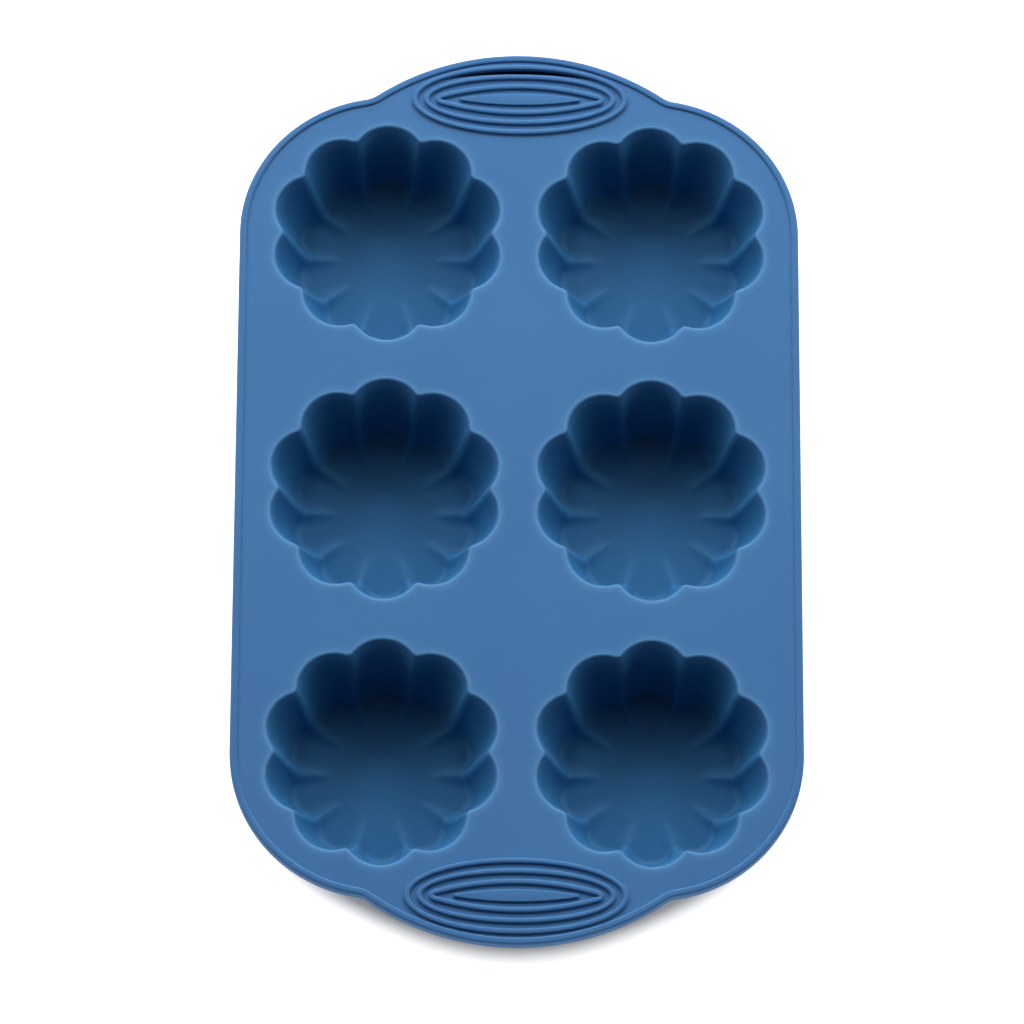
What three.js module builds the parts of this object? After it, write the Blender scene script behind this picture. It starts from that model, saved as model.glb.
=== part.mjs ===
// Silicone baking mould: a flat deck with a beaded rim, six flower-shaped cups hanging under it
// and a ribbed oval grip at each end.
// Millimetres, +Z up. The origin is on the surface that the cups stand on, at the middle of the tray.
// X runs across the tray and Y along it, from the front grip to the back grip.

import * as THREE from "three";
import { mergeVertices } from "three/addons/utils/BufferGeometryUtils.js";

// Cup mouth, seen from above: a ring of round petals with rounded ridges between them
const PETAL_COUNT = 10;
const MOUTH_RADIUS = 37.9;
const NOTCH_DEPTH = 3.8;
const LIP_WIDTH = 0.9;
const LIP_DEPTH = 0.7;

// Cup shell, with depths measured from the top of the deck
const CUP_DEPTH = 24;
const CUP_WALL = 2;
const WALL_DRAFT_DEG = 18;
const HEEL_RADIUS = 3.5;

// The wall folds round a small radius in the valleys outside, between the petals.
// The ridges inside grow a little wider as they come in, and run out over the floor in low creases.
const VALLEY_RADIUS = 0.2;
const RIDGE_WIDENING = 0.15;
const CREASE_RISE = 1.4;
const CREASE_LENGTH = 8;

// Cup grid
const CUP_COLUMNS = ["left", "right"];
const CUP_ROWS = ["front", "middle", "back"];
const CUP_GAP_ACROSS = 10.2;
const CUP_GAP_ALONG = 13.8;

// Deck and its rim
const DECK_THICKNESS = 2.6;
const RIM_MARGIN = 10.3;
const BEAD_WIDTH = 2.5;
const BEAD_RISE = 0.6;
const BEAD_DROP = 1.2;
const BEAD_EDGE_RADIUS = 0.8;

// Grip tabs at the two ends
const GRIP_PROJECTION = 15.7;
const GRIP_ARC_RADIUS = 82;
const NECK_RADIUS = 10;

// Grip pad and the oval ribs round it, from the innermost to the outermost
const PAD_HALF_LENGTH = 19.8;
const PAD_HALF_WIDTH = 2.1;
const PAD_HEIGHT = 0.8;
const PAD_BEVEL = 0.4;
const PAD_TIP_RADIUS = 0.6;
const PAD_GAP_ALONG = 7;
const PAD_GAP_ACROSS = 2.7;
const RIB_NAMES = ["inner", "middle", "outer"];
const RIB_WIDTH = 1.6;
const RIB_HEIGHT = 0.9;
const RIB_TIP_RADIUS = 1;
const RIB_STEP_ALONG = 3.9;
const RIB_STEP_ACROSS = 3.5;
const RIB_EDGE_GAP = 1;

// Narrow crescent-shaped recess in the deck, between the two outer ribs of the back grip
const RECESS_HALF_LENGTH = 20;
const RECESS_DEPTH = 1.6;
const RECESS_GAP = 0.2;

// Facets
const PETAL_STEPS = 4;
const RIDGE_STEPS = 2;
const INNER_HEEL_STEPS = 3;
const OUTER_HEEL_STEPS = 2;
const CORNER_STEPS = 8;
const GRIP_ARC_STEPS = 14;
const NECK_STEPS = 3;
const BEAD_EDGE_STEPS = 2;
const OVAL_HALF_STEPS = 18;
const TIP_STEPS = 4;
const RECESS_STEPS = 12;
const RIB_ROUND_STEPS = 4;

// Heights and places that follow from the sizes above
const DECK_TOP = CUP_DEPTH + CUP_WALL;
const DECK_UNDERSIDE = DECK_TOP - DECK_THICKNESS;
const CUP_PITCH_ACROSS = 2 * MOUTH_RADIUS + CUP_GAP_ACROSS;
const CUP_PITCH_ALONG = 2 * MOUTH_RADIUS + CUP_GAP_ALONG;
const CORNER_RADIUS = MOUTH_RADIUS + RIM_MARGIN;
const CORNER_X = ((CUP_COLUMNS.length - 1) / 2) * CUP_PITCH_ACROSS;
const CORNER_Y = ((CUP_ROWS.length - 1) / 2) * CUP_PITCH_ALONG;
const TRAY_END = CORNER_Y + CORNER_RADIUS + GRIP_PROJECTION;
const OUTER_RIB_HALF_WIDTH = ribSize(RIB_NAMES.length - 1).halfWidth;
const GRIP_CENTRE = TRAY_END - BEAD_WIDTH - RIB_EDGE_GAP - RIB_WIDTH / 2 - OUTER_RIB_HALF_WIDTH;
const DRAFT = THREE.MathUtils.degToRad(WALL_DRAFT_DEG);
const HALF_PETAL = Math.PI / PETAL_COUNT;
const FIRST_PETAL = Math.PI / 2;

// The whole mould is cast in one silicone.
const silicone = new THREE.MeshStandardMaterial({ color: 0x4c78aa, roughness: 0.5, metalness: 0 });

// Surfaces made of rings

// Points and triangles collected for one closed surface
class Surface {
  points = [];
  triangles = [];

  add(ring) {
    const first = this.points.length;
    this.points.push(...ring);
    return ring.map((_, i) => first + i);
  }

  // Joins two rings of the same length, which run counter-clockwise seen from above.
  // The outside is on the right of the way from one ring to the next.
  band(from, to) {
    from.forEach((a, i) => {
      const next = (i + 1) % from.length;
      this.triangles.push(a, from[next], to[next], a, to[next], to[i]);
    });
  }

  // Closes a ring with a fan round its middle point.
  fan(ring, facesUp) {
    const middle = new THREE.Vector3();
    ring.forEach((i) => middle.addScaledVector(this.points[i], 1 / ring.length));
    const [centre] = this.add([middle]);
    ring.forEach((a, i) => {
      const b = ring[(i + 1) % ring.length];
      this.triangles.push(centre, ...(facesUp ? [a, b] : [b, a]));
    });
  }

  // Fills the flat area between an outline and its holes.
  flat(outline, holes, facesUp) {
    const corners = [outline, ...holes].flat();
    const flatten = (ring) => ring.map((i) => new THREE.Vector2(this.points[i].x, this.points[i].y));
    for (const face of THREE.ShapeUtils.triangulateShape(flatten(outline), holes.map(flatten))) {
      const [a, b, c] = face.map((i) => corners[i]);
      const turnsLeft = THREE.ShapeUtils.area(flatten([a, b, c])) > 0;
      this.triangles.push(a, ...(turnsLeft === facesUp ? [b, c] : [c, b]));
    }
  }

  geometry() {
    const geometry = new THREE.BufferGeometry().setFromPoints(this.points);
    geometry.setIndex(this.triangles);
    const merged = mergeVertices(geometry);
    merged.computeVertexNormals();
    return merged;
  }
}

// A solid ring: the last of its rings joins the first again.
function loopOf(rings) {
  const surface = new Surface();
  const added = rings.map((ring) => surface.add(ring));
  added.forEach((ring, i) => surface.band(ring, added[(i + 1) % added.length]));
  return surface.geometry();
}

// A solid whose first ring closes over its underside and whose last ring closes over its top.
function stackOf(rings) {
  const surface = new Surface();
  const added = rings.map((ring) => surface.add(ring));
  added.slice(1).forEach((ring, i) => surface.band(added[i], ring));
  surface.fan(added[0], false);
  surface.fan(added.at(-1), true);
  return surface.geometry();
}

function raised(outline, z) {
  return outline.map((p) => new THREE.Vector3(p.x, p.y, z));
}

// Flower outline

// Arc from one angle to another, without its last point
function arc(x, y, radius, from, to, steps) {
  return Array.from({ length: steps }, (_, i) => {
    const turn = THREE.MathUtils.lerp(from, to, i / steps);
    return new THREE.Vector2(x + radius * Math.cos(turn), y + radius * Math.sin(turn));
  });
}

// Outline of the cup's inside about its axis, at a level where the petals have come in by an inset.
// The petals are arcs, and the ridges are smaller arcs that touch them from outside.
// The outline can then be moved outwards evenly.
function flowerOutline(inset, outwards = 0) {
  const ridgeRadius = VALLEY_RADIUS + CUP_WALL + RIDGE_WIDENING * inset;
  const ridgeCentre = MOUTH_RADIUS - NOTCH_DEPTH - inset + ridgeRadius;
  const tipReach = MOUTH_RADIUS - inset + ridgeRadius;
  const ridgeAlong = ridgeCentre * Math.cos(HALF_PETAL);
  const petalCentre = (tipReach ** 2 - ridgeCentre ** 2) / (2 * (tipReach - ridgeAlong));
  const petalRadius = MOUTH_RADIUS - inset - petalCentre;
  const sweep = Math.atan2(ridgeCentre * Math.sin(HALF_PETAL), ridgeAlong - petalCentre);

  const outline = [];
  for (let k = 0; k < PETAL_COUNT; k++) {
    const axis = FIRST_PETAL + 2 * HALF_PETAL * k;
    const petal = new THREE.Vector2(petalCentre, 0).rotateAround(new THREE.Vector2(), axis);
    const ridge = new THREE.Vector2(ridgeCentre, 0).rotateAround(new THREE.Vector2(), axis + HALF_PETAL);
    const petalEnd = axis + sweep;
    const nextStart = axis + 2 * HALF_PETAL - sweep;
    outline.push(
      ...arc(petal.x, petal.y, petalRadius + outwards, axis - sweep, petalEnd, PETAL_STEPS),
      ...arc(ridge.x, ridge.y, ridgeRadius - outwards, petalEnd + Math.PI, nextStart + Math.PI, RIDGE_STEPS),
    );
  }
  return outline;
}

// Ring on the drafted wall at a depth below the top of the deck.
// The offset leads outwards from the cup's inside, square to the wall.
function wallRing(depth, offset = 0) {
  const inset = (depth - offset * Math.sin(DRAFT)) * Math.tan(DRAFT);
  return raised(flowerOutline(inset, offset * Math.cos(DRAFT)), DECK_TOP - depth);
}

// Flower cup

// Rings of one face of the shell, from the end of the drafted wall round the heel to the end of the creases
function shellRings(offset, steps) {
  const wallDepth = CUP_DEPTH - HEEL_RADIUS * (1 - Math.sin(DRAFT));
  const footInset = wallDepth * Math.tan(DRAFT) + HEEL_RADIUS * Math.cos(DRAFT);
  const floorZ = DECK_TOP - CUP_DEPTH - offset;
  const rings = Array.from({ length: steps + 1 }, (_, i) => {
    const turn = THREE.MathUtils.lerp(DRAFT, Math.PI / 2, i / steps);
    const plan = flowerOutline(footInset - HEEL_RADIUS * Math.cos(turn), offset * Math.cos(turn));
    return raised(plan, floorZ + (HEEL_RADIUS + offset) * (1 - Math.sin(turn)));
  });

  const foot = rings.at(-1);
  const creaseEnd = MOUTH_RADIUS - NOTCH_DEPTH - footInset - CREASE_LENGTH;
  const floor = foot.map((p) => {
    const inwards = creaseEnd / Math.hypot(p.x, p.y);
    return new THREE.Vector3(p.x * inwards, p.y * inwards, floorZ);
  });

  // Round the heel, the middle of each ridge rises to the height of its crease.
  const ridgeMiddle = PETAL_STEPS + RIDGE_STEPS / 2;
  rings.forEach((ring, i) => {
    const crests = ring.filter((_, j) => j % (PETAL_STEPS + RIDGE_STEPS) === ridgeMiddle);
    crests.forEach((p) => {
      p.z += (CREASE_RISE * i) / steps;
    });
  });
  return [...rings, floor];
}

function cupGeometry() {
  const outside = shellRings(CUP_WALL, OUTER_HEEL_STEPS).reverse();
  const inside = shellRings(0, INNER_HEEL_STEPS);
  const seat = [wallRing(DECK_THICKNESS, CUP_WALL), wallRing(DECK_THICKNESS)];
  return stackOf([...outside, ...seat, ...inside]);
}

// Tray outline

// Outline of the tray, counter-clockwise, moved inwards by an even inset.
// The corners are concentric with the corner cups, and a small hollow arc leads into each grip.
function trayOutline(inset) {
  const gripY = TRAY_END - GRIP_ARC_RADIUS;
  const apart = Math.hypot(CORNER_X, CORNER_Y - gripY);
  const toGrip = GRIP_ARC_RADIUS + NECK_RADIUS;
  const toCorner = CORNER_RADIUS + NECK_RADIUS;
  const along = (toGrip ** 2 - toCorner ** 2 + apart ** 2) / (2 * apart);
  const neckTurn = Math.atan2(CORNER_Y - gripY, CORNER_X) + Math.acos(along / toGrip);
  const neckX = toGrip * Math.cos(neckTurn);
  const neckY = gripY + toGrip * Math.sin(neckTurn);
  const cornerTurn = Math.atan2(neckY - CORNER_Y, neckX - CORNER_X);

  const corner = CORNER_RADIUS - inset;
  const grip = GRIP_ARC_RADIUS - inset;
  const neck = NECK_RADIUS + inset;
  const backHalf = [
    ...arc(CORNER_X, CORNER_Y, corner, 0, cornerTurn, CORNER_STEPS),
    ...arc(neckX, neckY, neck, cornerTurn - Math.PI, neckTurn - Math.PI, NECK_STEPS),
    ...arc(0, gripY, grip, neckTurn, Math.PI - neckTurn, GRIP_ARC_STEPS),
    ...arc(-neckX, neckY, neck, -neckTurn, -cornerTurn, NECK_STEPS),
    ...arc(-CORNER_X, CORNER_Y, corner, Math.PI - cornerTurn, Math.PI, CORNER_STEPS),
    new THREE.Vector2(-CORNER_X - corner, CORNER_Y),
  ];
  const frontHalf = backHalf.map((p) => new THREE.Vector2(-p.x, -p.y));
  return [...backHalf, ...frontHalf];
}

// Deck sheet with a round-edged opening over each cup, and a recess in the back grip
function deckGeometry(cupCentres) {
  const surface = new Surface();
  const outline = trayOutline(BEAD_WIDTH);
  const under = surface.add(raised(outline, DECK_UNDERSIDE));
  const top = surface.add(raised(outline, DECK_TOP));
  surface.band(under, top);

  const lipTop = raised(flowerOutline(0, LIP_WIDTH), DECK_TOP);
  const throat = [lipTop, wallRing(LIP_DEPTH), wallRing(DECK_THICKNESS)];
  const openings = cupCentres.map((centre) =>
    throat.map((ring) => surface.add(ring.map((p) => p.clone().add(centre)))),
  );
  for (const rings of openings) {
    rings.slice(1).forEach((ring, i) => surface.band(rings[i], ring));
  }

  const recess = recessOutline();
  const recessEdge = surface.add(raised(recess, DECK_TOP));
  const recessFloor = surface.add(raised(recess, DECK_TOP - RECESS_DEPTH));
  surface.band(recessEdge, recessFloor);
  surface.flat(recessFloor, [], true);
  surface.flat(top, [...openings.map((rings) => rings[0]), recessEdge], true);
  surface.flat(under, openings.map((rings) => rings.at(-1)), false);
  return surface.geometry();
}

// Bead with rounded edges all round the deck
function beadGeometry() {
  const edge = BEAD_EDGE_RADIUS;
  const low = DECK_UNDERSIDE - BEAD_DROP + edge;
  const high = DECK_TOP + BEAD_RISE - edge;
  const rounded = (inset, z, from) =>
    Array.from({ length: BEAD_EDGE_STEPS + 1 }, (_, i) => {
      const turn = from + (Math.PI / 2) * (i / BEAD_EDGE_STEPS);
      return { inset: inset - edge * Math.cos(turn), z: z + edge * Math.sin(turn) };
    });
  const section = [
    ...rounded(BEAD_WIDTH - edge, low, Math.PI),
    ...rounded(edge, low, 1.5 * Math.PI),
    ...rounded(edge, high, 0),
    ...rounded(BEAD_WIDTH - edge, high, Math.PI / 2),
  ];
  return loopOf(section.map(({ inset, z }) => raised(trayOutline(inset), z)));
}

// Grip ribs and pad

function ellipse(halfLength, halfWidth) {
  return Array.from({ length: 2 * OVAL_HALF_STEPS }, (_, i) => {
    const turn = (Math.PI * i) / OVAL_HALF_STEPS;
    return new THREE.Vector2(halfLength * Math.cos(turn), halfWidth * Math.sin(turn));
  });
}

// Two arcs that meet in a small round tip at each end
function lens(halfLength, halfWidth, tipRadius) {
  const tip = halfLength - tipRadius;
  const radius = (tip ** 2 + halfWidth ** 2 - tipRadius ** 2) / (2 * (halfWidth - tipRadius));
  const tipEnd = Math.acos(tip / (radius - tipRadius));
  const half = [
    ...arc(tip, 0, tipRadius, -tipEnd, tipEnd, TIP_STEPS),
    ...arc(0, halfWidth - radius, radius, tipEnd, Math.PI - tipEnd, OVAL_HALF_STEPS - TIP_STEPS),
  ];
  return [...half, ...half.map((p) => new THREE.Vector2(-p.x, -p.y))];
}

// Size of an oval rib's middle line, counted from the innermost rib
function ribSize(index) {
  return {
    halfLength: PAD_HALF_LENGTH + PAD_GAP_ALONG + RIB_STEP_ALONG * index,
    halfWidth: PAD_HALF_WIDTH + PAD_GAP_ACROSS + RIB_STEP_ACROSS * index,
  };
}

// Outline beside a rib's middle line. The innermost rib has narrow ends.
function ribOutline(index, out) {
  const { halfLength, halfWidth } = ribSize(index);
  if (index === 0) {
    return lens(halfLength + out, halfWidth + out, RIB_TIP_RADIUS + out);
  }
  return ellipse(halfLength + out, halfWidth + out);
}

// Rib with a rounded top on a flat foot
function ribGeometry(index) {
  const section = Array.from({ length: RIB_ROUND_STEPS + 1 }, (_, i) => {
    const turn = (Math.PI * i) / RIB_ROUND_STEPS;
    return { out: (RIB_WIDTH / 2) * Math.cos(turn), z: DECK_TOP + RIB_HEIGHT * Math.sin(turn) };
  });
  return loopOf(section.map(({ out, z }) => raised(ribOutline(index, out), z)));
}

// Flat-topped pad inside the innermost rib
function padGeometry() {
  const foot = lens(PAD_HALF_LENGTH, PAD_HALF_WIDTH, PAD_TIP_RADIUS);
  const crown = lens(PAD_HALF_LENGTH - PAD_BEVEL, PAD_HALF_WIDTH - PAD_BEVEL, PAD_TIP_RADIUS - PAD_BEVEL);
  return stackOf([
    raised(foot, DECK_TOP),
    raised(foot, DECK_TOP + PAD_HEIGHT - PAD_BEVEL),
    raised(crown, DECK_TOP + PAD_HEIGHT),
  ]);
}

// Outline of the back grip's recess. It follows the outermost rib and is as wide as the gap to the next one.
function recessOutline() {
  const { halfLength, halfWidth } = ribSize(RIB_NAMES.length - 1);
  const toRib = RIB_WIDTH / 2 + RECESS_GAP;
  const width = RIB_STEP_ACROSS - 2 * toRib;
  const farEdge = (x) => (halfWidth - toRib) * Math.sqrt(1 - (x / (halfLength - toRib)) ** 2);
  return Array.from({ length: 2 * RECESS_STEPS }, (_, i) => {
    const turn = (Math.PI * i) / RECESS_STEPS;
    const x = RECESS_HALF_LENGTH * Math.cos(turn);
    const across = turn > Math.PI ? width * Math.sin(turn) ** 2 : 0;
    return new THREE.Vector2(x, GRIP_CENTRE + farEdge(x) - across);
  });
}

// Assembly

function named(name, geometry) {
  const mesh = new THREE.Mesh(geometry, silicone);
  mesh.name = name;
  return mesh;
}

const mould = new THREE.Group();

const cupPlaces = CUP_ROWS.flatMap((row, j) =>
  CUP_COLUMNS.map((column, i) => ({
    name: `flower_cup_${row}_${column}`,
    centre: new THREE.Vector3(i * CUP_PITCH_ACROSS - CORNER_X, j * CUP_PITCH_ALONG - CORNER_Y, 0),
  })),
);

mould.add(named("deck_sheet", deckGeometry(cupPlaces.map(({ centre }) => centre))));
mould.add(named("rim_bead", beadGeometry()));

for (const { name, centre } of cupPlaces) {
  const cup = named(name, cupGeometry());
  cup.position.copy(centre);
  mould.add(cup);
}

for (const [end, y] of [
  ["front", -GRIP_CENTRE],
  ["back", GRIP_CENTRE],
]) {
  const grip = new THREE.Group();
  grip.position.y = y;
  RIB_NAMES.forEach((rib, i) => grip.add(named(`${end}_grip_${rib}_rib`, ribGeometry(i))));
  grip.add(named(`${end}_grip_pad`, padGeometry()));
  mould.add(grip);
}

export default mould;
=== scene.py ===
"""Looks of a silicone flower cake mould and a plain studio for it, in metres, +Z up.

The mould is one casting, so every piece has the same silicone and meets its neighbours without a
visible seam. Places come from the frame. Sizes that the frame doesn't state are named below.
"""

import math

import bmesh
import bpy
import numpy as np
from mathutils import Matrix, Vector


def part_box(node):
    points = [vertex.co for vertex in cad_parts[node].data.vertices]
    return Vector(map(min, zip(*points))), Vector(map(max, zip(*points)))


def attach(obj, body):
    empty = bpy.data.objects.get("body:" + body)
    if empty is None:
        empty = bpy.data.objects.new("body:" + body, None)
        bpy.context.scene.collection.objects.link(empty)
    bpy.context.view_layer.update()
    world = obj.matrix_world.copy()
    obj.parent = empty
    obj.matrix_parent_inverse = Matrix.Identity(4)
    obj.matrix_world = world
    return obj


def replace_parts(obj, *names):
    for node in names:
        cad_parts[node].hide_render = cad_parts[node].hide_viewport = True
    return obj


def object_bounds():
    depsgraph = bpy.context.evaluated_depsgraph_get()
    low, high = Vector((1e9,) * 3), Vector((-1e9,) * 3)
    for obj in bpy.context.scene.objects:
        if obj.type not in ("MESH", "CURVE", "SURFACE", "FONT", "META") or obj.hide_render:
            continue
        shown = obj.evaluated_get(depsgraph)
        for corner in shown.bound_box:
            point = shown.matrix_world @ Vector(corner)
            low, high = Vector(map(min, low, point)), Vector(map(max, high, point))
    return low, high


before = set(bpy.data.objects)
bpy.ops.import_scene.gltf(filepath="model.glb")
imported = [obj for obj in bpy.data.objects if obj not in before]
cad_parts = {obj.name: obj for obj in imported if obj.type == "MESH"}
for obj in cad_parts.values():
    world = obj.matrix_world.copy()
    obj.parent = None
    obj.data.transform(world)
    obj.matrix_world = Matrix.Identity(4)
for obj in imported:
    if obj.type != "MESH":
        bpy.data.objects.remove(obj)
cad_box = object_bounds()

MM = 0.001

# Cup mouth: a ring of round petals with rounded ridges between them
PETAL_COUNT = 10
MOUTH_RADIUS = 37.9 * MM
NOTCH_DEPTH = 3.8 * MM
VALLEY_RADIUS = 0.2 * MM
RIDGE_WIDENING = 0.15
LIP_WIDTH = 0.8 * MM
LIP_DEPTH = 0.5 * MM

# The lips' painted highlight: the flat border's rings by distance and share, and how fast it falls down the
# lip
LIP_BORDER = ((2.2 * MM, 0.0), (0.7 * MM, 0.35))
LIP_FALL = 3
LIP_HIGHLIGHT_SHARE = "painted_lip_highlight"

# Cup shell. Each ridge runs out over the floor in a low crease
CUP_WALL = 2 * MM
WALL_DRAFT = math.radians(18)
HEEL_RADIUS = 3.5 * MM
CREASE_RISE = 1.2 * MM
CREASE_WIDTH = 2.2 * MM
CREASE_TIP_WIDTH = 1.2 * MM
CREASE_TOP = 10 * MM
CREASE_FULL = 24 * MM
CREASE_END = 15.5 * MM
DECK_FILLET = 1.5 * MM

# Rim and grips
BEAD_WIDTH = 2.5 * MM
BEAD_EDGE_RADIUS = 0.8 * MM
GRIP_ARC_RADIUS = 82 * MM
NECK_RADIUS = 10 * MM
RIB_WIDTH = 1.8 * MM
RIB_FOOT = 0.1 * MM
RIB_FULLNESS = 3
RIB_TIP_RADIUS = 1 * MM
PAD_BEVEL = 0.4 * MM
PAD_TIP_RADIUS = 0.6 * MM
SUNK = 0.2 * MM

# Back grip's recess, and its rings by depth and share of its painted shade
RECESS_HALF_LENGTH = 26 * MM
RECESS_DEPTH = 1.6 * MM
RECESS_GAP = 0.2 * MM
RECESS_LEVELS = ((0.0, 0.0), (0.15 * MM, 1.0), (RECESS_DEPTH, 1.0))
RECESS_SHADE_SHARE = "painted_recess_shade"

# Fineness
PETAL_STEPS = 18
RIDGE_HALF_STEPS = 10
RIDGE_CROWDING = 1.5
FINEST_RADIUS = 0.05 * MM
WALL_STEPS = 6
HEEL_STEPS = 14
FADE_STEPS = 10
LIP_STEPS = 8
FLAT_RING = 0.5 * MM
CORNER_STEPS = 60
GRIP_ARC_STEPS = 80
NECK_STEPS = 16
SIDE_STEPS = 20
BEAD_EDGE_STEPS = 8
OVAL_HALF_STEPS = 90
TIP_STEPS = 16
RECESS_STEPS = 40
RIB_ROUND_STEPS = 14
SHARP_ANGLE = math.radians(40)

# Heights and places that the frame gives
DECK_LOW, DECK_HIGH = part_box("deck_sheet")
DECK_TOP = DECK_HIGH.z
DECK_UNDERSIDE = DECK_LOW.z
DECK_THICKNESS = DECK_TOP - DECK_UNDERSIDE
CUP_DEPTH = DECK_TOP - cad_box[0].z - CUP_WALL
CUP_NODES = sorted(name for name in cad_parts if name.startswith("flower_cup"))
CORNER_CENTRE = sum(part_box("flower_cup_back_right"), Vector()) / 2
TRAY_END = cad_box[1].y
CORNER_RADIUS = cad_box[1].x - CORNER_CENTRE.x
HALF_PETAL = math.pi / PETAL_COUNT
FIRST_PETAL = math.pi / 2

# Silicone's colours: two shades of its pigment, a painted highlight on the lips, and painted shade in the
# cups and the recess
SILICONE_DEEP = (0.050, 0.163, 0.374)
SILICONE_PALE = (0.054, 0.175, 0.394)
# Painted highlight on the lips
LIP_PAINTED_HIGHLIGHT = (0.080, 0.236, 0.468)
# Painted shade: the cups' colour is multiplied by this, growing between two depths below the deck's top
CUP_PAINTED_SHADE = (0.53, 0.87, 0.85)
CUP_SHADE_DEPTHS = (0.4 * MM, 5 * MM)
# Painted shade multiplied into the back grip's recess
RECESS_PAINTED_SHADE = (0.2, 0.2, 0.22)

# Silicone's gloss, and the sizes of its clouds, gloss patches, waves and grain
SILICONE_IOR = 1.41
SILICONE_GLOSS = 0.2
SILICONE_ROUGHNESS = (0.5, 0.58)
NOISE_MIDDLE = (0.3, 0.7)
CLOUD_SIZE = 40 * MM
CLOUD_DETAIL = 4
GLOSS_SIZE = 15 * MM
GLOSS_DETAIL = 3
WAVE_SIZE = 30 * MM
WAVE_DETAIL = 0
WAVE_DEPTH = 0.1 * MM
GRAIN_SIZE = 0.4 * MM
GRAIN_DETAIL = 2
GRAIN_DEPTH = 0.004 * MM

# Softboxes
SOFTBOX_SIZE = 0.9
SOFTBOX_DISTANCE = 2.0
STRIP_HEIGHT = 0.02

# Floor, and its painted shadow by how open each place is to the sky
FLOOR_SIZE = 12
FLOOR_WHITE = (0.7, 0.7, 0.7)
FLOOR_GLOW = 1
SHADE_REACH = 200 * MM
SHADE_STOPS = ((0.4, 0.15), (0.45, 0.55), (0.52, 1.0))
SHADE_SAMPLES = 64

# Studio walls and ceiling. The walls fade out between two heights above the horizon
WALL_TOP = (math.sin(math.radians(6)), math.sin(math.radians(12)))
WALL_LEVEL = 0.6
CEILING_LEVEL = 0.03

# Camera, fitted to the flower outlines of the photograph
CAMERA_ELEVATION = math.radians(68.95)
CAMERA_DISTANCE = 2.21
CAMERA_TARGET = Vector((-1.73 * MM, -7.87 * MM, DECK_TOP))
CAMERA_TURN = math.radians(-1.28)
CAMERA_ROLL = math.radians(1.64)
SENSOR_WIDTH = 36
LENS = 241.6


# Mesh helpers


def smooth_piece(name, mesh):
    """A finished piece of the casting that rides on the part's one body."""
    mesh.shade_smooth()
    mesh.set_sharp_from_angle(angle=SHARP_ANGLE)
    piece = bpy.data.objects.new(name, mesh)
    bpy.context.scene.collection.objects.link(piece)
    piece.data.materials.append(silicone)
    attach(piece, "root")
    return piece


def ring_faces(rings, around, loops=False):
    """Quads between neighbouring rings of vertex numbers, facing out where rings run up the outside."""
    pairs = list(zip(rings[:-1], rings[1:]))
    if loops:
        pairs.append((rings[-1], rings[0]))
    faces = []
    for low, high in pairs:
        for i in range(around):
            j = (i + 1) % around
            faces.append((low[i], low[j], high[j], high[i]))
    return faces


def skin(name, rings, loops=False):
    """A closed mesh through rings of points: a solid loop, or a stack whose two ends are capped."""
    count, around = len(rings), len(rings[0])
    points = np.concatenate(rings)
    numbers = np.arange(count * around).reshape(count, around)
    faces = ring_faces(numbers, around, loops)
    if not loops:
        faces.append(tuple(numbers[0][::-1]))
        faces.append(tuple(numbers[-1]))
    mesh = bpy.data.meshes.new(name)
    mesh.from_pydata(points.tolist(), [], [tuple(int(i) for i in face) for face in faces])
    mesh.validate()
    return mesh


def raised(outline, z):
    """A flat outline as a ring of points at one height."""
    return np.column_stack([outline, np.full(len(outline), z)])


# Flower outline


def arc(x, y, radius, start, end, steps):
    """Points on an arc, without its last one."""
    turn = np.linspace(start, end, steps, endpoint=False)
    return np.column_stack([x + radius * np.cos(turn), y + radius * np.sin(turn)])


def ridge_turns(start, end):
    """Angles along a ridge's arc, closer together towards its middle."""
    step = np.linspace(-1, 1, 2 * RIDGE_HALF_STEPS, endpoint=False)
    crowded = np.sign(step) * np.abs(step) ** RIDGE_CROWDING
    return (start + end) / 2 + (end - start) / 2 * crowded


def flower_outline(inset, outwards=0.0):
    """The cup's outline about its axis where the petals have come in by an inset, then moved outwards evenly.

    The petals are arcs, and the ridges are smaller arcs that touch them from outside.
    """
    ridge = VALLEY_RADIUS + CUP_WALL + RIDGE_WIDENING * inset
    ridge_centre = MOUTH_RADIUS - NOTCH_DEPTH - inset + ridge
    tip_reach = MOUTH_RADIUS - inset + ridge
    ridge_along = ridge_centre * math.cos(HALF_PETAL)
    petal_centre = (tip_reach**2 - ridge_centre**2) / (2 * (tip_reach - ridge_along))
    petal = MOUTH_RADIUS - inset - petal_centre + outwards
    ridge = max(ridge - outwards, FINEST_RADIUS)
    across = petal_centre * math.sin(HALF_PETAL)
    ridge_centre = petal_centre * math.cos(HALF_PETAL) + math.sqrt((petal + ridge) ** 2 - across**2)
    ridge_side = ridge_centre * math.sin(HALF_PETAL)
    ridge_along = ridge_centre * math.cos(HALF_PETAL)
    sweep = math.atan2(ridge_side, ridge_along - petal_centre)
    points = []
    for k in range(PETAL_COUNT):
        axis = FIRST_PETAL + 2 * HALF_PETAL * k
        ridge_axis = axis + HALF_PETAL
        x, y = petal_centre * math.cos(axis), petal_centre * math.sin(axis)
        points.append(arc(x, y, petal, axis - sweep, axis + sweep, PETAL_STEPS))
        x, y = ridge_centre * math.cos(ridge_axis), ridge_centre * math.sin(ridge_axis)
        turn = math.pi + ridge_turns(axis + sweep, axis + 2 * HALF_PETAL - sweep)
        points.append(np.column_stack([x + ridge * np.cos(turn), y + ridge * np.sin(turn)]))
    return np.concatenate(points)


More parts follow.
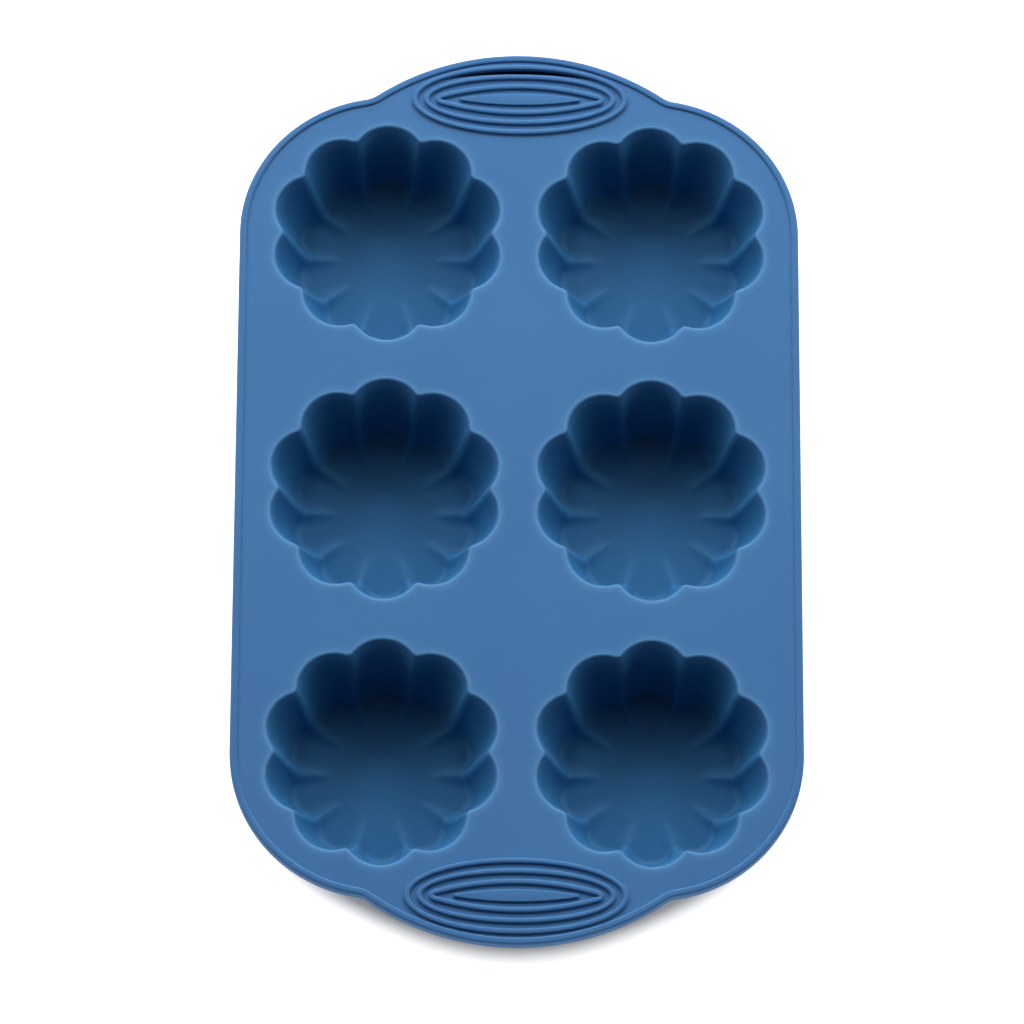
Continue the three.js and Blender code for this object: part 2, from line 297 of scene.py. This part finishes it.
def wall_ring(depth, offset=0.0):
    """A ring on the drafted wall, or on a face offset outwards from it, at a depth under the deck's top."""
    inset = (depth - offset * math.sin(WALL_DRAFT)) * math.tan(WALL_DRAFT)
    return raised(flower_outline(inset, offset * math.cos(WALL_DRAFT)), DECK_TOP - depth)


# Flower cups


def ease(t):
    """A smooth step from 0 to 1."""
    t = np.clip(t, 0, 1)
    return t * t * (3 - 2 * t)


def crease_rise(plan, depth):
    """How far the creases lift the floor and the heel at points of a ring."""
    radius = np.hypot(plan[:, 0], plan[:, 1])
    turn = np.arctan2(plan[:, 1], plan[:, 0]) - FIRST_PETAL
    from_ridge = np.abs(np.mod(turn, 2 * HALF_PETAL) - HALF_PETAL)
    across = radius * np.sin(from_ridge)
    along = np.clip((radius - CREASE_END) / (CREASE_FULL - CREASE_END), 0, 1)
    width = CREASE_TIP_WIDTH + (CREASE_WIDTH - CREASE_TIP_WIDTH) * along
    depth_shade = ease((depth - CREASE_TOP) / (CUP_DEPTH - CREASE_TOP))
    return CREASE_RISE * along * depth_shade * np.exp(-((across / width) ** 2))


def shell_rings(offset, top_depth):
    """Rings of one face of the cup's shell, from the straight wall round the heel to the middle of the floor.

    The outside lies at an even offset from the inside, square to it.
    """
    wall_depth = CUP_DEPTH - HEEL_RADIUS * (1 - math.sin(WALL_DRAFT))
    wall_start = top_depth - offset * math.sin(WALL_DRAFT)
    wall = np.linspace(wall_start, wall_depth, WALL_STEPS, endpoint=False)
    stations = [(depth * math.tan(WALL_DRAFT), depth, WALL_DRAFT) for depth in wall]
    foot_inset = wall_depth * math.tan(WALL_DRAFT) + HEEL_RADIUS * math.cos(WALL_DRAFT)
    for turn in np.linspace(WALL_DRAFT, math.pi / 2, HEEL_STEPS + 1):
        depth = CUP_DEPTH - HEEL_RADIUS * (1 - math.sin(turn))
        stations.append((foot_inset - HEEL_RADIUS * math.cos(turn), depth, turn))

    rings = []
    for inset, depth, turn in stations:
        plan = flower_outline(inset, offset * math.cos(turn))
        z = DECK_TOP - depth - offset * math.sin(turn)
        rings.append(np.column_stack([plan, z + crease_rise(plan, depth)]))
    foot = flower_outline(foot_inset)
    middle = foot * (CREASE_END / np.hypot(foot[:, 0], foot[:, 1]))[:, None]
    for t in np.linspace(0, 1, FADE_STEPS + 1)[1:]:
        plan = foot + (middle - foot) * t
        z = DECK_TOP - CUP_DEPTH - offset
        rings.append(np.column_stack([plan, z + crease_rise(plan, CUP_DEPTH)]))
    return rings


def deck_flare():
    """Rings of the small fillet between a cup's outside and the deck's underside, from the deck down."""
    rings = []
    for turn in np.linspace(0, math.pi / 2, LIP_STEPS, endpoint=False):
        depth = DECK_THICKNESS + DECK_FILLET * math.sin(turn)
        rings.append(wall_ring(depth, CUP_WALL + DECK_FILLET * (1 - math.sin(turn))))
    return rings


def make_cup(node):
    """One cup below the deck. Gives the place of its axis."""
    low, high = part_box(node)
    centre = np.array([(low.x + high.x) / 2, (low.y + high.y) / 2, 0])
    inside = shell_rings(0.0, DECK_THICKNESS)
    outside = deck_flare() + shell_rings(CUP_WALL, DECK_THICKNESS + DECK_FILLET)
    rings = [ring + centre for ring in outside[::-1] + inside]
    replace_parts(smooth_piece(f"{node}_skin", skin(node, rings)), node)
    return centre


# Tray outline


def tray_outline(inset):
    """The tray's outline, counter-clockwise, moved inwards by an even inset."""
    corner_x, corner_y = CORNER_CENTRE.x, CORNER_CENTRE.y
    grip_y = TRAY_END - GRIP_ARC_RADIUS
    apart = math.hypot(corner_x, corner_y - grip_y)
    to_grip = GRIP_ARC_RADIUS + NECK_RADIUS
    to_corner = CORNER_RADIUS + NECK_RADIUS
    along = (to_grip**2 - to_corner**2 + apart**2) / (2 * apart)
    neck_turn = math.atan2(corner_y - grip_y, corner_x) + math.acos(along / to_grip)
    neck_x = to_grip * math.cos(neck_turn)
    neck_y = grip_y + to_grip * math.sin(neck_turn)
    corner_turn = math.atan2(neck_y - corner_y, neck_x - corner_x)

    corner = CORNER_RADIUS - inset
    neck = NECK_RADIUS + inset
    grip = GRIP_ARC_RADIUS - inset
    side_y = np.linspace(corner_y, -corner_y, SIDE_STEPS, endpoint=False)
    half = np.concatenate([
        arc(corner_x, corner_y, corner, 0, corner_turn, CORNER_STEPS),
        arc(neck_x, neck_y, neck, corner_turn - math.pi, neck_turn - math.pi, NECK_STEPS),
        arc(0, grip_y, grip, neck_turn, math.pi - neck_turn, GRIP_ARC_STEPS),
        arc(-neck_x, neck_y, neck, -neck_turn, -corner_turn, NECK_STEPS),
        arc(-corner_x, corner_y, corner, math.pi - corner_turn, math.pi, CORNER_STEPS),
        np.column_stack([np.full(SIDE_STEPS, -corner_x - corner), side_y]),
    ])
    return np.concatenate([half, -half])


# Deck and rim


def throat_rings():
    """Rings of one opening in the deck: a flat border, the rounded lip and the wall down to the cup.

    Each has its share of the lip's painted highlight.
    """
    rings = []
    for apart, share in LIP_BORDER:
        rings.append((raised(flower_outline(0, LIP_WIDTH + apart), DECK_TOP), share))
    for turn in np.linspace(0, math.pi / 2, LIP_STEPS + 1):
        depth = LIP_DEPTH * (1 - math.cos(turn))
        plan = flower_outline(depth * math.tan(WALL_DRAFT), LIP_WIDTH * (1 - math.sin(turn)))
        rings.append((raised(plan, DECK_TOP - depth), math.cos(turn) ** LIP_FALL))
    rings.append((wall_ring(DECK_THICKNESS), 0.0))
    return rings


def recess_outline():
    """The back grip's crescent, which follows the outermost rib and is as wide as the gap to the next one."""
    low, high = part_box("back_grip_outer_rib")
    to_rib = RIB_WIDTH + RECESS_GAP
    half_length = (high.x - low.x) / 2 - to_rib
    half_width = (high.y - low.y) / 2 - to_rib
    width = high.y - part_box("back_grip_middle_rib")[1].y - to_rib - RECESS_GAP
    turn = np.linspace(0, 2 * math.pi, 2 * RECESS_STEPS, endpoint=False)
    x = RECESS_HALF_LENGTH * np.cos(turn)
    far_edge = (low.y + high.y) / 2 + half_width * np.sqrt(1 - (x / half_length) ** 2)
    return np.column_stack([x, far_edge - np.where(turn > math.pi, width * np.sin(turn) ** 2, 0)])


def make_deck(centres):
    """The sheet with its openings and the back grip's recess. Its edge is sunk a little into the bead."""
    bm = bmesh.new()
    for name in (LIP_HIGHLIGHT_SHARE, RECESS_SHADE_SHARE):
        bm.verts.layers.float.new(name)

    def add(ring, share=0.0, name=LIP_HIGHLIGHT_SHARE):
        """A ring of new vertices with its share of the lips' painted highlight or the recess's painted shade.
        """
        layer = bm.verts.layers.float[name]
        vertices = [bm.verts.new(point) for point in ring.tolist()]
        for vertex in vertices:
            vertex[layer] = share
        return vertices

    def fill(rings):
        """A flat face inside the first ring and outside the others."""
        edges = []
        for ring in rings:
            for i, a in enumerate(ring):
                b = ring[(i + 1) % len(ring)]
                edges.append(bm.edges.get((a, b)) or bm.edges.new((a, b)))
        bmesh.ops.triangle_fill(bm, use_beauty=True, edges=edges)

    edge = [tray_outline(BEAD_WIDTH + step) for step in (-SUNK, FLAT_RING)]
    under = add(raised(edge[0], DECK_UNDERSIDE))
    side = add(raised(edge[0], DECK_TOP))
    border = add(raised(edge[1], DECK_TOP))
    for face in ring_faces([under, side, border], len(under)):
        bm.faces.new(face)

    mouths, feet = [], []
    throat = throat_rings()
    for centre in centres:
        rings = [add(ring + centre, share) for ring, share in throat]
        for face in ring_faces(rings, len(rings[0])):
            bm.faces.new(face)
        mouths.append(rings[0])
        feet.append(rings[-1])
    recess = []
    for depth, share in RECESS_LEVELS:
        recess.append(add(raised(recess_outline(), DECK_TOP - depth), share, RECESS_SHADE_SHARE))
    for face in ring_faces(recess, len(recess[0])):
        bm.faces.new(face)
    fill([recess[-1]])
    fill([border, *mouths, recess[0]])
    fill([under, *feet])
    bmesh.ops.recalc_face_normals(bm, faces=bm.faces)

    mesh = bpy.data.meshes.new("deck_sheet")
    bm.to_mesh(mesh)
    bm.free()
    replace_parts(smooth_piece("deck_sheet_skin", mesh), "deck_sheet")


def make_bead():
    """The bead round the deck's edge, with rounded edges."""
    low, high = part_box("rim_bead")
    edge = BEAD_EDGE_RADIUS
    section = []
    for inset, z, start in (
        (BEAD_WIDTH - edge, low.z + edge, math.pi),
        (edge, low.z + edge, 1.5 * math.pi),
        (edge, high.z - edge, 0),
        (BEAD_WIDTH - edge, high.z - edge, 0.5 * math.pi),
    ):
        for turn in np.linspace(start, start + math.pi / 2, BEAD_EDGE_STEPS + 1):
            section.append((inset - edge * math.cos(turn), z + edge * math.sin(turn)))
    rings = [raised(tray_outline(inset), z) for inset, z in section]
    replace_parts(smooth_piece("rim_bead_skin", skin("rim_bead", rings, loops=True)), "rim_bead")


# Grips


def ellipse(half_length, half_width):
    """An oval outline about its middle."""
    turn = np.linspace(0, 2 * math.pi, 2 * OVAL_HALF_STEPS, endpoint=False)
    return np.column_stack([half_length * np.cos(turn), half_width * np.sin(turn)])


def lens(half_length, half_width, tip_radius):
    """Two arcs that meet in a small round tip at each end."""
    tip = half_length - tip_radius
    radius = (tip**2 + half_width**2 - tip_radius**2) / (2 * (half_width - tip_radius))
    tip_end = math.acos(tip / (radius - tip_radius))
    half = np.concatenate([
        arc(tip, 0, tip_radius, -tip_end, tip_end, TIP_STEPS),
        arc(0, half_width - radius, radius, tip_end, math.pi - tip_end, OVAL_HALF_STEPS - TIP_STEPS),
    ])
    return np.concatenate([half, -half])


def make_rib(node, pointed):
    """An oval rib with a rounded crest and a small fillet at its foot, sunk a little into the deck."""
    low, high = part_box(node)
    centre = np.array([0, (low.y + high.y) / 2, 0])
    half_length = (high.x - low.x - RIB_WIDTH) / 2
    half_width = (high.y - low.y - RIB_WIDTH) / 2
    crest = high.z - DECK_TOP
    half = RIB_WIDTH / 2
    turn = np.linspace(0, math.pi, RIB_ROUND_STEPS + 1)
    across = half * np.sign(np.cos(turn)) * np.abs(np.cos(turn)) ** (2 / RIB_FULLNESS)
    height = RIB_FOOT + (crest - RIB_FOOT) * np.abs(np.sin(turn)) ** (2 / RIB_FULLNESS)
    section = [(half + RIB_FOOT, -SUNK), (half + RIB_FOOT, 0)]
    section += list(zip(across, height))
    section += [(-half - RIB_FOOT, 0), (-half - RIB_FOOT, -SUNK)]
    rings = []
    for out, z in section:
        if pointed:
            plan = lens(half_length + out, half_width + out, RIB_TIP_RADIUS + out)
        else:
            plan = ellipse(half_length + out, half_width + out)
        rings.append(raised(plan, DECK_TOP + z) + centre)
    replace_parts(smooth_piece(f"{node}_skin", skin(node, rings, loops=True)), node)


def make_pad(node):
    """The flat-topped lens inside the innermost rib."""
    low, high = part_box(node)
    centre = np.array([0, (low.y + high.y) / 2, 0])
    half_length = (high.x - low.x) / 2
    half_width = (high.y - low.y) / 2
    height = high.z - DECK_TOP
    section = [(0.0, -SUNK), (0.0, height - PAD_BEVEL)]
    for turn in np.linspace(0, math.pi / 2, LIP_STEPS + 1)[1:]:
        section.append((PAD_BEVEL * (1 - math.cos(turn)), height - PAD_BEVEL * (1 - math.sin(turn))))
    rings = []
    for inset, z in section:
        plan = lens(half_length - inset, half_width - inset, PAD_TIP_RADIUS - inset)
        rings.append(raised(plan, DECK_TOP + z) + centre)
    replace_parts(smooth_piece(f"{node}_skin", skin(node, rings)), node)


# Silicone


def make_silicone():
    """Satin blue silicone: faint clouds in the pigment, a fine moulded grain and slightly uneven gloss.

    The lips carry a painted highlight, and the cups and the back grip's recess a painted shade.
    """
    material = bpy.data.materials.new("silicone")
    material.use_nodes = True
    nodes, links = material.node_tree.nodes, material.node_tree.links
    shader = nodes["Principled BSDF"]
    shader.inputs["IOR"].default_value = SILICONE_IOR
    shader.inputs["Specular IOR Level"].default_value = SILICONE_GLOSS
    place = nodes.new("ShaderNodeTexCoord").outputs["Object"]

    def noise(size, detail):
        """Noise with features of about the given size."""
        texture = nodes.new("ShaderNodeTexNoise")
        texture.inputs["Scale"].default_value = 1 / size
        texture.inputs["Detail"].default_value = detail
        links.new(place, texture.inputs["Vector"])
        return texture.outputs["Fac"]

    def spread(value, low, high):
        """The middle range of a noise, stretched between two values."""
        stretch = nodes.new("ShaderNodeMapRange")
        stretch.inputs["From Min"].default_value = NOISE_MIDDLE[0]
        stretch.inputs["From Max"].default_value = NOISE_MIDDLE[1]
        stretch.inputs["To Min"].default_value = low
        stretch.inputs["To Max"].default_value = high
        links.new(value, stretch.inputs["Value"])
        return stretch.outputs["Result"]

    def bump(height, depth, below=None):
        """Relief of a depth, over another one if there is one below."""
        relief = nodes.new("ShaderNodeBump")
        relief.inputs["Distance"].default_value = depth
        links.new(height, relief.inputs["Height"])
        if below:
            links.new(below, relief.inputs["Normal"])
        return relief.outputs["Normal"]

    def mixed(share, other, blend_type="MIX"):
        """A node that turns a colour towards another one, or multiplies it by that one, by a share."""
        mix = nodes.new("ShaderNodeMix")
        mix.data_type = "RGBA"
        mix.blend_type = blend_type
        mix.inputs["B"].default_value = (*other, 1)
        links.new(share, mix.inputs["Factor"])
        return mix

    def painted(name):
        """A share that a mesh holds at each vertex, and zero on meshes without it."""
        attribute = nodes.new("ShaderNodeAttribute")
        attribute.attribute_name = name
        return attribute.outputs["Fac"]

    height = nodes.new("ShaderNodeSeparateXYZ")
    links.new(place, height.inputs["Vector"])
    # Painted shade: a share that grows with depth below the deck's top
    depth_shade = nodes.new("ShaderNodeMapRange")
    depth_shade.inputs["From Min"].default_value = DECK_TOP - CUP_SHADE_DEPTHS[0]
    depth_shade.inputs["From Max"].default_value = DECK_TOP - CUP_SHADE_DEPTHS[1]
    links.new(height.outputs["Z"], depth_shade.inputs["Value"])

    pigment = mixed(spread(noise(CLOUD_SIZE, CLOUD_DETAIL), 0, 1), SILICONE_PALE)
    pigment.inputs["A"].default_value = (*SILICONE_DEEP, 1)
    colour = pigment.outputs["Result"]
    # Painted highlight on the lips, and painted shade with depth in the cups and in the back grip's recess
    for change in (
        mixed(painted(LIP_HIGHLIGHT_SHARE), LIP_PAINTED_HIGHLIGHT),
        mixed(depth_shade.outputs["Result"], CUP_PAINTED_SHADE, "MULTIPLY"),
        mixed(painted(RECESS_SHADE_SHARE), RECESS_PAINTED_SHADE, "MULTIPLY"),
    ):
        links.new(colour, change.inputs["A"])
        colour = change.outputs["Result"]
    links.new(colour, shader.inputs["Base Color"])
    roughness = spread(noise(GLOSS_SIZE, GLOSS_DETAIL), *SILICONE_ROUGHNESS)
    links.new(roughness, shader.inputs["Roughness"])
    waves = bump(noise(WAVE_SIZE, WAVE_DETAIL), WAVE_DEPTH)
    grain = bump(noise(GRAIN_SIZE, GRAIN_DETAIL), GRAIN_DEPTH, waves)
    links.new(grain, shader.inputs["Normal"])
    return material


silicone = make_silicone()


# Studio


def make_floor_white():
    """Pale paint. The camera and reflections see it as clean white that darkens only close under the rim,
    mostly by a painted shadow on its glow and partly by the lamps' shadow on the paint.
    """
    material = bpy.data.materials.new("floor_white")
    material.use_nodes = True
    nodes, links = material.node_tree.nodes, material.node_tree.links
    nodes.remove(nodes["Principled BSDF"])
    paint = nodes.new("ShaderNodeBsdfDiffuse")
    paint.inputs["Color"].default_value = (*FLOOR_WHITE, 1)

    # Painted shadow: the glow is darkened where the floor is hidden from the sky by the mould
    openness = nodes.new("ShaderNodeAmbientOcclusion")
    openness.samples = SHADE_SAMPLES
    openness.inputs["Distance"].default_value = SHADE_REACH
    shade = nodes.new("ShaderNodeValToRGB")
    stops = shade.color_ramp.elements
    stops.new(SHADE_STOPS[1][0])
    for stop, (position, level) in zip(stops, SHADE_STOPS):
        stop.position = position
        stop.color = (level, level, level, 1)
    links.new(openness.outputs["AO"], shade.inputs["Fac"])
    glow = nodes.new("ShaderNodeEmission")
    glow.inputs["Strength"].default_value = FLOOR_GLOW
    links.new(shade.outputs["Color"], glow.inputs["Color"])
    glowing = nodes.new("ShaderNodeAddShader")
    links.new(paint.outputs["BSDF"], glowing.inputs[0])
    links.new(glow.outputs["Emission"], glowing.inputs[1])

    rays = nodes.new("ShaderNodeLightPath")
    seen = rays.outputs["Is Camera Ray"]
    for kind in ("Is Glossy Ray", "Is Transmission Ray"):
        either = nodes.new("ShaderNodeMath")
        either.operation = "MAXIMUM"
        links.new(seen, either.inputs[0])
        links.new(rays.outputs[kind], either.inputs[1])
        seen = either.outputs["Value"]
    surface = nodes.new("ShaderNodeMixShader")
    links.new(seen, surface.inputs["Fac"])
    links.new(paint.outputs["BSDF"], surface.inputs[1])
    links.new(glowing.outputs["Shader"], surface.inputs[2])
    links.new(surface.outputs["Shader"], nodes["Material Output"].inputs["Surface"])
    return material


def make_floor():
    """The plain floor that the cups stand on."""
    half = FLOOR_SIZE / 2
    corners = [(-half, -half, 0), (half, -half, 0), (half, half, 0), (-half, half, 0)]
    mesh = bpy.data.meshes.new("floor")
    mesh.from_pydata(corners, [], [(0, 1, 2, 3)])
    mesh.materials.append(make_floor_white())
    floor = bpy.data.objects.new("floor", mesh)
    bpy.context.scene.collection.objects.link(floor)


def make_softboxes(name, rise, turn, power, strip=False):
    """Softboxes at a height and a turn from the back of the tray, in degrees: one behind it, or a pair.

    They are round, or low strips that light the rim's outer face from the level of the floor.
    """
    sides = (1,) if turn == 0 else (-1, 1)
    for side in sides:
        height, heading = math.radians(rise), math.radians(side * turn)
        towards = Vector((math.sin(heading), math.cos(heading), 0)) * math.cos(height)
        towards.z = math.sin(height)
        data = bpy.data.lights.new(name, "AREA")
        data.shape = "RECTANGLE" if strip else "DISK"
        data.size = SOFTBOX_SIZE
        data.size_y = STRIP_HEIGHT
        data.energy = power
        light = bpy.data.objects.new(name, data)
        light.location = Vector((0, 0, DECK_TOP)) + SOFTBOX_DISTANCE * towards
        light.rotation_euler = towards.to_track_quat("Z", "Y").to_euler()
        bpy.context.scene.collection.objects.link(light)


def make_camera():
    """The photograph's view: above the front grip, looking down on the tray."""
    data = bpy.data.cameras.new("camera")
    data.sensor_width = SENSOR_WIDTH
    data.lens = LENS
    camera = bpy.data.objects.new("camera", data)
    away = Vector((0, -math.cos(CAMERA_ELEVATION), math.sin(CAMERA_ELEVATION)))
    tilt = Matrix.Rotation(math.pi / 2 - CAMERA_ELEVATION, 4, "X")
    roll = Matrix.Rotation(CAMERA_ROLL, 4, "Z")
    turn = Matrix.Rotation(CAMERA_TURN, 4, "Z")
    camera.matrix_world = turn @ Matrix.Translation(CAMERA_TARGET + CAMERA_DISTANCE * away) @ tilt @ roll
    bpy.context.scene.collection.objects.link(camera)
    bpy.context.scene.camera = camera


def make_world():
    """Studio walls that are pale up to a low height, under a dark ceiling."""
    world = bpy.data.worlds.new("studio")
    world.use_nodes = True
    nodes, links = world.node_tree.nodes, world.node_tree.links
    direction = nodes.new("ShaderNodeSeparateXYZ")
    links.new(nodes.new("ShaderNodeTexCoord").outputs["Generated"], direction.inputs["Vector"])
    level = nodes.new("ShaderNodeMapRange")
    level.inputs["From Min"].default_value, level.inputs["From Max"].default_value = WALL_TOP
    level.inputs["To Min"].default_value = WALL_LEVEL
    level.inputs["To Max"].default_value = CEILING_LEVEL
    links.new(direction.outputs["Z"], level.inputs["Value"])
    links.new(level.outputs["Result"], nodes["Background"].inputs["Strength"])
    nodes["Background"].inputs["Color"].default_value = (1, 1, 1, 1)
    bpy.context.scene.world = world


make_deck([make_cup(node) for node in CUP_NODES])
make_bead()
for end in ("front", "back"):
    make_rib(f"{end}_grip_outer_rib", pointed=False)
    make_rib(f"{end}_grip_middle_rib", pointed=False)
    make_rib(f"{end}_grip_inner_rib", pointed=True)
    make_pad(f"{end}_grip_pad")

make_floor()
make_world()
make_softboxes("back_low", rise=12, turn=0, power=10)
make_softboxes("back_middle", rise=28, turn=0, power=15)
make_softboxes("back", rise=28, turn=35, power=14.4)
make_softboxes("side", rise=28, turn=70, power=10.8)
make_softboxes("high", rise=44, turn=0, power=6.7)
make_softboxes("top", rise=60, turn=0, power=2.2)
make_softboxes("front_low", rise=12, turn=130, power=1.6)
make_softboxes("front_strip", rise=-0.4, turn=145, power=7, strip=True)
make_camera()
bpy.context.scene.view_settings.view_transform = "Standard"
